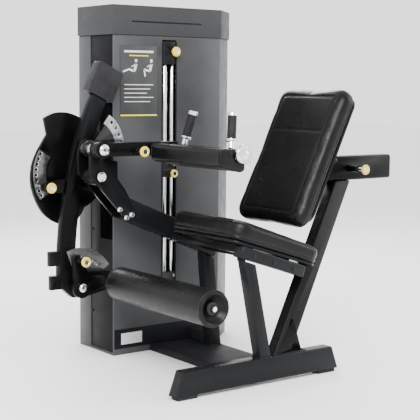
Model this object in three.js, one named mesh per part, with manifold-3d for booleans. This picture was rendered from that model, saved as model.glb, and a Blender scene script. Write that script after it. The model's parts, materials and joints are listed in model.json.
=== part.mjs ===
// Seated leg curl machine with a weight tower, in millimetres, +Z up.
// X runs from the user's feet to the user's back, Y from the open side to the weight tower.
import * as THREE from 'three';
import { mergeVertices } from 'three/addons/utils/BufferGeometryUtils.js';
import Module from 'manifold-3d';

const wasm = await Module();
wasm.setup();

// ---------------------------------------------------------------- driving dimensions
const GAP = 0.4;                 // clearance between touching pieces
const USER_Y = 215;              // middle plane of the seat, pads and slide tube

const BAR = { length: 762, height: 88, width: 50, slant: 33, z: 12 };
const FOOT_PAD = { length: 90, width: 44, height: 12 - GAP };

const TOWER = { x0: 178, x1: 702, chamferX: 127, chamferY: 110, y0: 692, y1: 958, z0: 0, z1: 1284 };
const SHEET = 6;                 // thickness of the tower panels
const TOWER_FLOOR = 10;          // thickness of the plate that the stack stands on
const CAP = { height: 116, overhang: 6, wall: 8 };
const SLOT = { x0: 411, x1: 480, z0: 210, z1: 1269 };
const SIDE_REAR_STRIP = 90;      // grey strip behind the open side of the tower

const PLATE = { x0: 355, x1: 600, bevel: 22, y0: 250, y1: 690, top: 25, thickness: 13 };

const KNEE = { x: 8, z: 745 };   // knee axis of the movement arm and the cam
const KNEE_SHAFT_R = 16;
const ARM = { y: 645, width: 68, thickness: 30 };
const ARM_PATH = { bottom: [-68, 352], bend: [-66, 740], top: [85, 1052] };
const ROM_PIN = { x: -146.2, z: 702.2, length: 52, collar: 14, tip: 65.1 };
const LINK_PIN = { ring: 112, angle: 101, length: 70, collar: 36, tip: 20.1 };
const WEIGHT = { size: 122, height: 126, depth: 46, y: 643, x: 102, z: 1098, tilt: 25.8 };

const CAM = { y: 732, thickness: 34, plate: 16, drum: 146, web: 132, hub: 44, webDepth: 20 };
const CAM_NOSE = [[120, 246], [112, 249], [103, 243], [94, 234], [83, 220], [68, 206], [48, 192], [25, 182]];
const CAM_HEEL = [[8, 178], [-12, 164], [-34, 142], [-60, 132], [-84, 184], [-106, 204], [-125, 201],
  [-142, 192], [-165, 184], [-186, 179], [-204, 176], [-220, 177], [-234, 188]];
const CAM_INDEX = { inner: 118, outer: 173, from: 146.5, to: 214.5, ring: 160, first: 150.5, step: 7.5, holes: 9 };

const LINK = { x: -16, z: 312, y: 612, thickness: 18 };
const LINK_SECTOR_R = 153;
const LINK_STEP = 13;            // angle between the holes of the link sector
const ROLLER = { x: 95, z: 331, radius: 65, y0: -95, y1: 520 };
const AXLE_R = 11;

const BRACKET = { nearY: 510, farY: 595, thickness: 10 };
const LAP = { x: -13, z: 848, y: 477, boss: 32 };
const LAP_TUBE = { x0: 24, x1: 322, size: 50 };
const LAP_BAR = { x: 285, z: 848, radius: 17, y0: 6, y1: 452 };
const LAP_PAD = { x: 186, z: 806, y0: 9, y1: 446, depth: 118, front: 62, rear: 42, drop: 27, step: 62 };
const LAP_PIN = { ring: 136, angle: -2.5, length: 74, collar: 38, tip: 96 };
const LAP_STEP = 12;             // angle between the holes of the lap sector
const GRIP = { offset: 143, rise: 128, lean: 12.4, inward: 13, radius: 17 };
const LAP_SECTOR = { inner: 112, outer: 152, from: -12, to: 56, thickness: 8 };

const POST = { x: 546, y: 552, size: 50, depth: 56, top: 413, lean: 5.6 };
const FRONT_LEG = { foot: 402, head: 325, top: 466, size: 50 };
const REAR_LEG = { foot: [452, 25], head: [976, 215], depth: 74, width: 50, top: 713 };
const BACK_PIN = { x: 170, length: 108, collar: 60, tip: 6.5 };
const BACK_STEP = 35;            // distance between the holes of the sliding bar
const SLIDE = { x0: 800, x1: 1203, z0: 713.4, z1: 811, width: 56, wall: 5 };
const NOSE = -72.5;             // where the carriage meets the back board, from its own origin
const BACK = { x: 643, z: 600, recline: 25.8, height: 560, width: 400, thickness: 70, board: 12 };

const SEAT = { x: 266, z: 608, pitch: 17.3, length: 444, width: 440, thickness: 62, board: 10 };
const CROSSBAR = { x: [96, 280], width: 40, depth: 26, y0: 50.6, y1: 514.8 };
const RAIL = { x0: 292, z0: 522, length: 314, height: 44, width: 50, pitch: 18.3 };

const STACK = { x: 460, y: 757, width: 230, depth: 104, plate: 32, pitch: 32.6, base: 120 };
const STACK_LOWER = 6;
const STACK_LIFTED = 2;
const STACK_LIFT = 396;          // how far the chosen plates hang above the rest in this pose
const ROD = { x: [441, 480], y: 723, radius: 12 };
const PULLEY_WIDTH = 26;
const LOW_PULLEY = { x: 315.1, z: 1012, radius: 40 };
const TOP_PULLEY = { x: 408.6, z: 1196, radius: 49.5 };
const BELT = { width: 14, thickness: 3, y: 757, start: 190, end: 420 };
const ADDON_PIN = { x: 455, z: 1222, length: 42, tip: 15 };

// ---------------------------------------------------------------- materials
const paint = (color, roughness, metalness) => () =>
  new THREE.MeshStandardMaterial({ color, roughness, metalness });
const BLACK_PAINT = paint(0x1b1c1e, 0.38, 0.3);
const GREY_PANEL = paint(0x55585b, 0.5, 0.35);
const DARK_PANEL = paint(0x2e3032, 0.55, 0.2);
const CAP_GREY = paint(0x66696c, 0.45, 0.3);
const SILVER = paint(0xc9ccce, 0.3, 0.9);
const CHROME = paint(0xe6e8ea, 0.12, 1.0);
const YELLOW = paint(0xd8c64a, 0.35, 0.3);
const RUBBER = paint(0x141414, 0.85, 0.0);
const VINYL = paint(0x232427, 0.55, 0.0);
const CAST_IRON = paint(0x2a2b2d, 0.6, 0.4);
const PRINT = paint(0x6b6e70, 0.6, 0.1);

// ---------------------------------------------------------------- solid helpers
const rad = THREE.MathUtils.degToRad;

function toSolid(geometry) {
  const plain = geometry.clone();
  plain.deleteAttribute('normal');
  plain.deleteAttribute('uv');
  const merged = mergeVertices(plain, 1e-4);
  return new wasm.Manifold(new wasm.Mesh({
    numProp: 3,
    vertProperties: Float32Array.from(merged.attributes.position.array),
    triVerts: Uint32Array.from(merged.index.array),
  }));
}

function toGeometry(manifold) {
  const mesh = manifold.getMesh();
  const geometry = new THREE.BufferGeometry();
  geometry.setAttribute('position', new THREE.BufferAttribute(mesh.vertProperties, 3));
  geometry.setIndex(new THREE.BufferAttribute(mesh.triVerts, 1));
  geometry.computeVertexNormals();
  return geometry;
}

function join(...pieces) {
  return toGeometry(pieces.map(toSolid).reduce((a, b) => a.add(b)));
}

function cut(body, ...tools) {
  return toGeometry(tools.map(toSolid).reduce((a, b) => a.subtract(b), toSolid(body)));
}

const at = (geometry, x, y, z) => geometry.translate(x, y, z);
const block = (x, y, z) => new THREE.BoxGeometry(x, y, z);
const span = (x0, x1, y0, y1, z0, z1) =>
  at(block(x1 - x0, y1 - y0, z1 - z0), (x0 + x1) / 2, (y0 + y1) / 2, (z0 + z1) / 2);
const rodY = (radius, length, sides = 16) => new THREE.CylinderGeometry(radius, radius, length, sides);
const rodZ = (radius, length, sides = 16) => rodY(radius, length, sides).rotateX(Math.PI / 2);

// Closed outline drawn in X and Z, given thickness along Y about its middle.
function sheetXZ(shape, thickness, curveSegments = 5) {
  const geometry = new THREE.ExtrudeGeometry(shape, { depth: thickness, bevelEnabled: false, curveSegments });
  return geometry.rotateX(Math.PI / 2).translate(0, thickness / 2, 0);
}

// Closed outline drawn in X and Y, standing from z = 0 upward.
function sheetXY(shape, height, curveSegments = 3) {
  return new THREE.ExtrudeGeometry(shape, { depth: height, bevelEnabled: false, curveSegments });
}

function outline(points) {
  return new THREE.Shape(points.map(([a, b]) => new THREE.Vector2(a, b)));
}

function roundedRect(width, height, radius) {
  const w = width / 2 - radius;
  const h = height / 2 - radius;
  const shape = new THREE.Shape();
  shape.absarc(w, h, radius, 0, rad(90));
  shape.absarc(-w, h, radius, rad(90), rad(180));
  shape.absarc(-w, -h, radius, rad(180), rad(270));
  shape.absarc(w, -h, radius, rad(270), rad(360));
  return shape;
}

// A square-cut tube section carried from one point to another; `side` keeps its width level.
function beam(from, to, width, depth, radius = 5) {
  const start = new THREE.Vector3(...from);
  const along = new THREE.Vector3(...to).sub(start);
  const section = sheetXY(roundedRect(width, depth, radius), along.length(), 3);
  const axis = along.normalize();
  const side = new THREE.Vector3(0, 1, 0).cross(axis).normalize();
  const across = axis.clone().cross(side);
  const basis = new THREE.Matrix4().makeBasis(side, across, axis).setPosition(start);
  return section.applyMatrix4(basis);
}

// Ring-shaped sector in X and Z; angles in degrees from +X towards +Z.
function sector(inner, outer, from, to) {
  const shape = new THREE.Shape();
  shape.absarc(0, 0, outer, rad(from), rad(to), false);
  shape.absarc(0, 0, inner, rad(to), rad(from), true);
  return shape;
}

function polar(radius, angle) {
  return [radius * Math.cos(rad(angle)), radius * Math.sin(rad(angle))];
}

// Lathe profile given as [radius, station] pairs, turned about Y; either winding will do.
function turned(profile, sides = 18) {
  const points = profile.map(([r, y]) => new THREE.Vector2(r, y));
  if (THREE.ShapeUtils.area(points) < 0) points.reverse();
  return new THREE.LatheGeometry(points, sides);
}

// ---------------------------------------------------------------- assembly
const machine = new THREE.Group();

function add(name, geometry, material, place = [0, 0, 0], turn = 0) {
  const mesh = new THREE.Mesh(geometry, material());
  mesh.name = name;
  mesh.position.set(...place);
  mesh.rotation.y = -rad(turn);
  machine.add(mesh);
  return mesh;
}

// ---------------------------------------------------------------- base and seat frame
function footBar() {
  const { length, height, slant } = BAR;
  const side = outline([[0, 0], [length, 0], [length - slant, height], [slant, height]]);
  return sheetXZ(side, BAR.width);
}

function buildBase() {
  add('foot_bar', footBar(), BLACK_PAINT, [0, BAR.width / 2, BAR.z]);
  const padZ = FOOT_PAD.height / 2;
  const pad = () => sheetXY(roundedRect(FOOT_PAD.length, FOOT_PAD.width, 10), FOOT_PAD.height, 3)
    .translate(0, 0, -padZ);
  add('foot_pad_front', pad(), RUBBER, [55, BAR.width / 2, padZ]);
  add('foot_pad_rear', pad(), RUBBER, [BAR.length - 55, BAR.width / 2, padZ]);

  const { x0, x1, bevel, y0, y1, top, thickness } = PLATE;
  const section = outline([[x0, -thickness], [x1 + bevel, -thickness], [x1, 0], [x0, 0]]);
  const deck = sheetXZ(section, y1 - y0).translate(0, (y0 + y1) / 2, top);
  const stretcher = span(x0, x0 + 45, BAR.width + GAP, y1, 0, top - 1);
  add('base_plate', join(deck, stretcher), BLACK_PAINT);
  const spineX = POST.x + POST.size / 2;
  const spine = span(spineX - 24, spineX + 24, POST.y + POST.depth / 2 + GAP, TOWER.y0 - 6, top + GAP, top + 52);
  add('base_spine', spine, BLACK_PAINT);
}

function farPost() {
  const rise = POST.top - PLATE.top - GAP;
  const shift = rise * Math.tan(rad(POST.lean));
  const { size } = POST;
  const side = outline([[0, 0], [size, 0], [size - shift, rise - 20], [-shift, rise]]);
  return sheetXZ(side, POST.depth);
}

function frontLeg() {
  const foot = BAR.z + BAR.height + GAP;
  const half = FRONT_LEG.size / 2;
  const { foot: x0, head: x1, top } = FRONT_LEG;
  const drop = FRONT_LEG.size * Math.tan(rad(RAIL.pitch));
  return sheetXZ(outline([[x0 - half, foot], [x0 + half, foot], [x1 + half, top - drop], [x1 - half, top]]),
    FRONT_LEG.size);
}

function rearLeg() {
  const bottom = BAR.z + BAR.height + GAP;
  const [fx, fy] = REAR_LEG.foot;
  const [hx, hy] = REAR_LEG.head;
  const length = beam([fx, fy, bottom - 60], [hx, hy, REAR_LEG.top + 60], REAR_LEG.depth, REAR_LEG.width);
  const below = span(fx - 300, fx + 300, -400, 800, -200, bottom);
  const above = span(hx - 300, hx + 400, -400, 800, REAR_LEG.top, REAR_LEG.top + 300);
  return cut(join(length, legGusset()), below, above);
}

function legGusset() {
  const foot = BAR.z + BAR.height + GAP;
  return at(sheetXZ(outline([[480, foot], [603, foot], [562, foot + 118]]), 10), 0, 40, 0);
}

function railPiece(length, height, width) {
  return at(block(length, width, height), length / 2, 0, -height / 2);
}

function buildSeatFrame() {
  add('far_post', farPost(), BLACK_PAINT, [POST.x, POST.y, PLATE.top + GAP]);
  add('front_leg', frontLeg(), BLACK_PAINT, [0, 25, 0]);
  add('rear_leg', rearLeg(), BLACK_PAINT);
  add('seat_rail', railPiece(RAIL.length, RAIL.height, RAIL.width), BLACK_PAINT,
    [RAIL.x0, 25, RAIL.z0], -RAIL.pitch);
}

// ---------------------------------------------------------------- seat
function cushion(length, width, thickness, corner, bevel) {
  const shape = roundedRect(length - 2 * bevel, width - 2 * bevel, corner);
  return new THREE.ExtrudeGeometry(shape, {
    depth: thickness - 2 * bevel, bevelEnabled: true, bevelThickness: bevel, bevelSize: bevel,
    bevelSegments: 1, curveSegments: 3,
  }).translate(0, 0, bevel);
}

function buildSeat() {
  const place = [SEAT.x, USER_Y, SEAT.z];
  const { length, width, thickness, board } = SEAT;
  const pad = cushion(length, width, thickness, 60, 12).translate(length / 2, 0, -thickness);
  add('seat_cushion', pad, VINYL, place, -SEAT.pitch);
  const boardShape = roundedRect(length - 24, width - 24, 50);
  const under = -thickness - GAP - board;
  const boardSolid = sheetXY(boardShape, board).translate(length / 2, 0, under);
  const crossbars = CROSSBAR.x.map((x) => span(x, x + CROSSBAR.width, CROSSBAR.y0 - USER_Y,
    CROSSBAR.y1 - USER_Y, under - CROSSBAR.depth, under + 1));
  add('seat_board', join(boardSolid, ...crossbars), BLACK_PAINT, place, -SEAT.pitch);
}

// ---------------------------------------------------------------- head bracket
function bracketOutline() {
  return outline([[-41, 830], [-41, 752], [108, 588], [150, 572], [168, 604], [112, 698], [81, 735],
    [81, 800], [30, 812], [17, 868], [-4, 884], [-28, 876]]);
}

function bracketPlate(holes) {
  const plate = sheetXZ(bracketOutline(), BRACKET.thickness);
  const drills = holes.map(([x, z, r]) => at(rodY(r, 60, 20), x, 0, z));
  return cut(plate, ...drills);
}

function buildBracket() {
  const kneeHole = [KNEE.x, KNEE.z, KNEE_SHAFT_R + GAP];
  const lapHole = [LAP.x, LAP.z, 12 + GAP];
  add('head_bracket_near', bracketPlate([kneeHole, lapHole]), BLACK_PAINT, [0, BRACKET.nearY, 0]);
  const clear = BRACKET.farY - BRACKET.nearY - BRACKET.thickness - 2 * GAP;
  const middle = (BRACKET.nearY + BRACKET.farY) / 2;
  const spacer = cut(rodY(20, clear, 20), rodY(13, clear + 4, 20));
  add('lap_pivot_spacer', spacer, SILVER, [LAP.x, middle, LAP.z]);
  const housing = at(rodY(34, clear + 1, 20), KNEE.x, middle - BRACKET.farY + 0.5, KNEE.z);
  const farPlate = join(sheetXZ(bracketOutline(), BRACKET.thickness), housing);
  const drills = [kneeHole, lapHole].map(([x, z, r]) => at(rodY(r, 400, 20), x, 0, z));
  add('head_bracket_far', cut(farPlate, ...drills), BLACK_PAINT, [0, BRACKET.farY, 0]);
  add('lap_sector', lapSector(), SILVER, [LAP.x, middle, LAP.z]);
  const neck = beam([118, middle, 622], [566, middle, 436], 84, clear, 6);
  add('bracket_beam', neck, BLACK_PAINT);
}

// The index plate of the lap pad: a drilled rim carried by a web from a hub round the pivot.
function lapSector() {
  const { inner, outer, from, to, thickness } = LAP_SECTOR;
  const plate = sheetXZ(sector(inner, outer, from, to), thickness, 5);
  const web = sheetXZ(outline([[0, 0], polar(inner + 4, from + 4), polar(inner + 4, (from + to) / 2),
    polar(inner + 4, to - 4)]), thickness);
  const holes = [];
  for (let i = 0; i < 5; i += 1) {
    const [x, z] = polar(LAP_PIN.ring, LAP_PIN.angle + i * LAP_STEP);
    holes.push(at(rodY(7, 30, 8), x, 0, z));
  }
  return cut(join(plate, web, rodY(32, thickness, 20)), ...holes, rodY(20 + GAP, 30, 20));
}

// ---------------------------------------------------------------- spring pins
// Pin along Y: tip at y = 0 pointing +Y, collar, shank and round knob towards -Y.
function springPin(length, tip) {
  return turned([[0, tip], [5, tip], [5, 0], [6.5, 0], [6.5, -length + 20], [17, -length + 16],
    [20, -length + 10], [20, -length + 3], [16, -length], [0, -length]], 14);
}

// Guide collar of a spring pin, from y = 1 inside its carrier to y = -reach.
function pinCollar(reach) {
  return at(rodY(13, reach + 1, 20), 0, (1 - reach) / 2, 0);
}

const pinBore = (x, z) => at(rodY(7, 400, 16), x, 0, z);

// ---------------------------------------------------------------- lap pad
function lapTube() {
  const half = LAP_TUBE.size / 2;
  const tube = span(LAP_TUBE.x0, LAP_TUBE.x1, -half, half, -half, half);
  const boss = at(rodY(LAP.boss, LAP_TUBE.size, 20), LAP.x, 0, 0);
  const neck = span(LAP.x, LAP_TUBE.x0 + 4, -half, half, -half, half);
  const bore = at(rodY(12 + GAP, 80, 20), LAP.x, 0, 0);
  const [pinX, pinZ] = polar(LAP_PIN.ring, LAP_PIN.angle);
  const collar = at(pinCollar(LAP_PIN.collar), LAP.x + pinX, -half, pinZ);
  const pinHole = pinBore(LAP.x + pinX, pinZ);
  const barHole = at(rodY(LAP_BAR.radius + GAP, 80, 20), LAP_BAR.x, 0, 0);
  return cut(join(tube, boss, neck, collar), bore, pinHole, barHole);
}

function grip(side) {
  const lean = new THREE.Vector3(Math.tan(rad(GRIP.lean)), side * -Math.tan(rad(GRIP.inward)), 1);
  const turnTo = new THREE.Quaternion().setFromUnitVectors(new THREE.Vector3(0, 1, 0), lean.normalize());
  const stem = turned([[0, -4], [11, -4], [11, 20], [19, 22], [19, 32], [GRIP.radius, 34],
    [GRIP.radius, GRIP.rise - 12], [18, GRIP.rise - 10], [18, GRIP.rise - 2], [14, GRIP.rise],
    [0, GRIP.rise]], 14);
  return stem.applyQuaternion(turnTo);
}

function lapBar() {
  const length = LAP_BAR.y1 + LAP_TUBE.size - LAP_BAR.y0 + 2;
  return rodY(LAP_BAR.radius, length, 20);
}

// The pad is thick along its front edge and steps down to pass under the cross bar.
function lapPad() {
  const { depth, front, rear, drop, step, y0, y1 } = LAP_PAD;
  const side = outline([[0, 8], [10, -2], [depth - 14, -drop + 3], [depth, -drop + 12], [depth, rear - drop - 4],
    [depth - 8, rear - drop + 2], [step + 16, 22], [step, front - 6], [step - 10, front], [8, front], [0, front - 8]]);
  return sheetXZ(side, y1 - y0);
}

function buildLapPad() {
  add('lap_arm', lapTube(), BLACK_PAINT, [0, LAP.y, LAP.z]);
  const boltLength = BRACKET.farY + BRACKET.thickness / 2 - LAP.y + LAP_TUBE.size / 2 + 4;
  const bolt = turned([[0, 0], [12, 0], [12, -boltLength + 2], [21, -boltLength + 2], [21, -boltLength - 6],
    [17, -boltLength - 9], [0, -boltLength - 9]], 24);
  add('lap_pivot_bolt', bolt, CHROME, [LAP.x, BRACKET.farY + BRACKET.thickness / 2, LAP.z]);
  const barMiddle = (LAP_BAR.y0 + LAP_BAR.y1 + LAP_TUBE.size + 2) / 2;
  const socket = (side) => at(rodZ(12, 30, 20), 0, USER_Y + side * GRIP.offset - barMiddle, 18);
  add('lap_bar', cut(lapBar(), socket(1), socket(-1)), BLACK_PAINT, [LAP_BAR.x, barMiddle, LAP_BAR.z]);
  const disc = turned([[0, 0], [34, 0], [35, -3], [35, -11], [31, -14], [12, -15], [10, -20], [0, -20]], 24);
  add('lap_bar_cap', disc, CHROME, [LAP_BAR.x, LAP_BAR.y0 - GAP, LAP_BAR.z]);
  for (const [name, side] of [['grip_near', -1], ['grip_far', 1]]) {
    add(name, grip(side), RUBBER, [LAP_BAR.x, USER_Y + side * GRIP.offset, LAP_BAR.z + LAP_BAR.radius + 6]);
  }
  add('lap_pad', lapPad(), VINYL, [LAP_PAD.x, (LAP_PAD.y0 + LAP_PAD.y1) / 2, LAP_PAD.z]);
  const faceY = LAP.y - LAP_TUBE.size / 2;
  const [pinX, pinZ] = polar(LAP_PIN.ring, LAP_PIN.angle);
  add('lap_pin', springPin(LAP_PIN.length, LAP_PIN.tip), YELLOW, [LAP.x + pinX, faceY, LAP.z + pinZ]);
}

// ---------------------------------------------------------------- back rest and slide tube
function slideTube() {
  const height = SLIDE.z1 - SLIDE.z0;
  const section = roundedRect(SLIDE.width, height, 8);
  const inside = roundedRect(SLIDE.width - 2 * SLIDE.wall, height - 2 * SLIDE.wall, 5);
  section.holes.push(new THREE.Path(inside.getPoints(3).reverse()));
  const tube = sheetXY(section, SLIDE.x1 - SLIDE.x0, 3).rotateZ(Math.PI / 2).rotateY(Math.PI / 2);
  const collar = at(pinCollar(BACK_PIN.collar), BACK_PIN.x, -SLIDE.width / 2, 0);
  const bore = at(rodY(7, 120, 16), BACK_PIN.x, -SLIDE.width / 2 - 30, 0);
  return cut(join(tube, collar), bore);
}

function buildBack() {
  const middleZ = (SLIDE.z0 + SLIDE.z1) / 2;
  add('slide_tube', slideTube(), BLACK_PAINT, [SLIDE.x0, USER_Y, middleZ]);
  const height = SLIDE.z1 - SLIDE.z0;
  const cap = sheetXY(roundedRect(SLIDE.width, height, 12), 8).rotateZ(Math.PI / 2).rotateY(Math.PI / 2);
  add('slide_tube_cap', cap, RUBBER, [SLIDE.x1 + GAP, USER_Y, middleZ]);
  const clear = SLIDE.wall + 2;
  const inner = span(-105, 330, -SLIDE.width / 2 + clear, SLIDE.width / 2 - clear,
    -height / 2 + clear, height / 2 - clear);
  const holes = [];
  for (let i = -1; i <= 3; i += 1) {
    holes.push(at(rodY(7, 30, 8), BACK_PIN.x - 10 + i * BACK_STEP, -SLIDE.width / 2 + clear, 0));
  }
  const lean = Math.tan(rad(BACK.recline));
  const noseTop = height / 2 - clear + 1;
  const noseLow = -height / 2 + clear - 1;
  const nose = sheetXZ(outline([[-300, noseLow], [NOSE + noseLow * lean, noseLow],
    [NOSE + noseTop * lean, noseTop], [-300, noseTop]]), 80);
  add('back_carriage', cut(inner, nose, ...holes), BLACK_PAINT, [SLIDE.x0 + 10, USER_Y, middleZ]);

  const place = [BACK.x, USER_Y, BACK.z];
  const stand = (geometry) => geometry.rotateY(-Math.PI / 2);
  const { height: tall, width, thickness, board } = BACK;
  const pad = stand(cushion(tall, width, thickness, 50, 26)).translate(-1, 0, tall / 2 - 45);
  add('back_cushion', pad, VINYL, place, -BACK.recline);
  const boardSolid = stand(sheetXY(roundedRect(tall - 40, width - 40, 40), board))
    .translate(board + GAP, 0, tall / 2 - 45);
  const handle = at(rodY(9, 40, 16).rotateZ(Math.PI / 2), board + 20, 60 - width / 2, 250);
  add('back_board', join(boardSolid, handle), BLACK_PAINT, place, -BACK.recline);
  const pin = springPin(BACK_PIN.length, BACK_PIN.tip);
  add('back_pin', pin, YELLOW, [SLIDE.x0 + BACK_PIN.x, USER_Y - SLIDE.width / 2, middleZ]);
}

// ---------------------------------------------------------------- cam
// The cam's edge, from the tip of its nose over the top and round the heel to the notch behind the tip.
function camOutline() {
  const curve = (list, count) => new THREE.SplineCurve(list.map(([angle, radius]) =>
    new THREE.Vector2(...polar(radius, angle)))).getPoints(count).map((p) => [p.x, p.y]);
  return outline([...curve(CAM_NOSE, 14), ...curve(CAM_HEEL, 30)]);
}

function camSector() {
  const { inner, outer, from, to, ring, first, step } = CAM_INDEX;
  const plate = sheetXZ(sector(inner, outer, from, to), 5, 5);
  const holes = [];
  for (let i = 0; i < CAM_INDEX.holes; i += 1) {
    const [x, z] = polar(ring, first + i * step);
    holes.push(at(rodY(5.5, 20, 8), x, 0, z));
  }
  return cut(plate, ...holes);
}

function buildCam() {
  const place = [KNEE.x, CAM.y, KNEE.z];
  const plate = at(sheetXZ(camOutline(), CAM.plate), 0, (CAM.plate - CAM.thickness) / 2, 0);
  const disc = join(plate, rodY(CAM.drum, CAM.thickness, 28));
  const web = cut(rodY(CAM.web, CAM.webDepth + 1, 28), rodY(CAM.hub, CAM.webDepth + 4, 20));
  const hollow = at(web, 0, (CAM.thickness - CAM.webDepth + 1) / 2, 0);
  const recess = at(sheetXZ(sector(CAM_INDEX.inner - 6, 176, 142, 219), 8, 5), 0, -CAM.thickness / 2 + 2, 0);
  const bore = rodY(KNEE_SHAFT_R + GAP, 80, 20);
  add('cam', cut(disc, bore, recess, hollow), BLACK_PAINT, place);
  const faceY = CAM.y - CAM.thickness / 2 + 6 - GAP - 2.5;
  add('cam_index_plate', camSector(), SILVER, [KNEE.x, faceY, KNEE.z]);
  const shaftStart = BRACKET.nearY - 9;
  const shaftEnd = CAM.y + CAM.thickness / 2 + 6;
  const shaft = rodY(KNEE_SHAFT_R, shaftEnd - shaftStart, 20);
  add('knee_shaft', shaft, SILVER, [KNEE.x, (shaftStart + shaftEnd) / 2, KNEE.z]);
}

// ---------------------------------------------------------------- movement arm
function armCurve() {
  const point = ([x, z]) => new THREE.Vector2(x, z);
  return new THREE.QuadraticBezierCurve(point(ARM_PATH.bottom), point(ARM_PATH.bend), point(ARM_PATH.top));
}

function armOutline() {
  const curve = armCurve();
  const left = [];
  const right = [];
  const steps = 12;
  for (let i = 0; i <= steps; i += 1) {
    const p = curve.getPoint(i / steps);
    const t = curve.getTangent(i / steps);
    const half = ARM.width / 2;
    left.push([p.x - t.y * half, p.y + t.x * half]);
    right.unshift([p.x + t.y * half, p.y - t.x * half]);
  }
  return outline([...right.reverse(), ...left.reverse()]);
}

function movementArm() {
  const body = sheetXZ(armOutline(), ARM.thickness);
  const hub = at(rodY(50, ARM.thickness, 20), KNEE.x, 0, KNEE.z);
  const footHull = sheetXZ(outline([[-99, 373], [-96, 318], [-44, 272], [-16, 270], [14, 284], [24, 312],
    [12, 342], [-38, 373]]), ARM.thickness);
  const kneeBore = at(rodY(KNEE_SHAFT_R + GAP, 60, 20), KNEE.x, 0, KNEE.z);
  const linkBore = at(rodY(10 + GAP, 60, 20), LINK.x, 0, LINK.z);
  const ear = sheetXZ(outline([[-20, 735], [-20, 672], [-132, 680], [-166, 690], [-166, 714], [-132, 722]]), 10);
  const earCollar = at(pinCollar(ROM_PIN.collar), ROM_PIN.x, -5, ROM_PIN.z);
  const stops = [[-140, 400, 456], [-135, 308, 362]].map(([x, low, high]) => span(x, -80, -8, 12, low, high));
  const solid = join(body, hub, footHull, at(ear, 0, 10, 0), at(earCollar, 0, 10, 0), ...stops);
  return cut(solid, kneeBore, linkBore, pinBore(ROM_PIN.x, ROM_PIN.z));
}

function buildArm() {
  add('movement_arm', movementArm(), BLACK_PAINT, [0, ARM.y, 0]);
  const romFace = ARM.y + 10 - 5;
  add('rom_pin', springPin(ROM_PIN.length, ROM_PIN.tip), YELLOW, [ROM_PIN.x, romFace, ROM_PIN.z]);
  const tilt = WEIGHT.tilt;
  const top = new THREE.Vector3(ARM_PATH.top[0], 0, ARM_PATH.top[1]);
  const pocket = at(block(ARM.width + 2, ARM.thickness + 1, 80), 0, ARM.y - WEIGHT.y, 0);
  const lump = sheetXZ(roundedRect(WEIGHT.size, WEIGHT.height, 9), WEIGHT.depth, 3);
  const local = new THREE.Vector3(top.x - WEIGHT.x, 0, top.z - WEIGHT.z)
    .applyAxisAngle(new THREE.Vector3(0, 1, 0), rad(-tilt));
  pocket.translate(local.x, 0, local.z - 30);
  add('counterweight', cut(lump, pocket), CAST_IRON, [WEIGHT.x, WEIGHT.y, WEIGHT.z], -tilt);
}

// ---------------------------------------------------------------- ankle roller and its link
function linkArm() {
  const reach = [ROLLER.x - LINK.x, ROLLER.z - LINK.z];
  const [pinX, pinZ] = polar(LINK_PIN.ring, LINK_PIN.angle);
  const web = outline([[-10, -40], [reach[0] + 10, reach[1] - 34], [reach[0] + 34, reach[1]],
    [reach[0] + 8, reach[1] + 36], [24, 56], [pinX + 20, pinZ + 2], [pinX + 8, pinZ + 18], [pinX - 12, pinZ + 16],
    [pinX - 18, pinZ], [-34, 24]]);
  const collar = at(pinCollar(LINK_PIN.collar), pinX, -LINK.thickness / 2, pinZ);
  const hub = rodY(41, LINK.thickness, 20);
  const eye = at(rodY(34, LINK.thickness, 20), reach[0], 0, reach[1]);
  const bore = rodY(10 + GAP, 60, 20);
  const axleBore = at(rodY(AXLE_R + GAP, 60, 20), reach[0], 0, reach[1]);
  return cut(join(sheetXZ(web, LINK.thickness), hub, eye, collar), bore, axleBore, pinBore(pinX, pinZ));
}

function linkSector() {
  const fan = new THREE.Shape();
  fan.moveTo(...polar(64, 112));
  fan.absarc(0, 0, LINK_SECTOR_R, rad(112), rad(30), true);
  fan.lineTo(...polar(64, 30));
  fan.absarc(0, 0, 64, rad(30), rad(112), false);
  const holes = [];
  for (let i = 0; i < 5; i += 1) {
    const [x, z] = polar(LINK_PIN.ring, LINK_PIN.angle - i * LINK_STEP);
    holes.push(at(rodY(5.6, 20, 8), x, 0, z));
  }
  return cut(sheetXZ(fan, 6, 5), ...holes);
}

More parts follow.
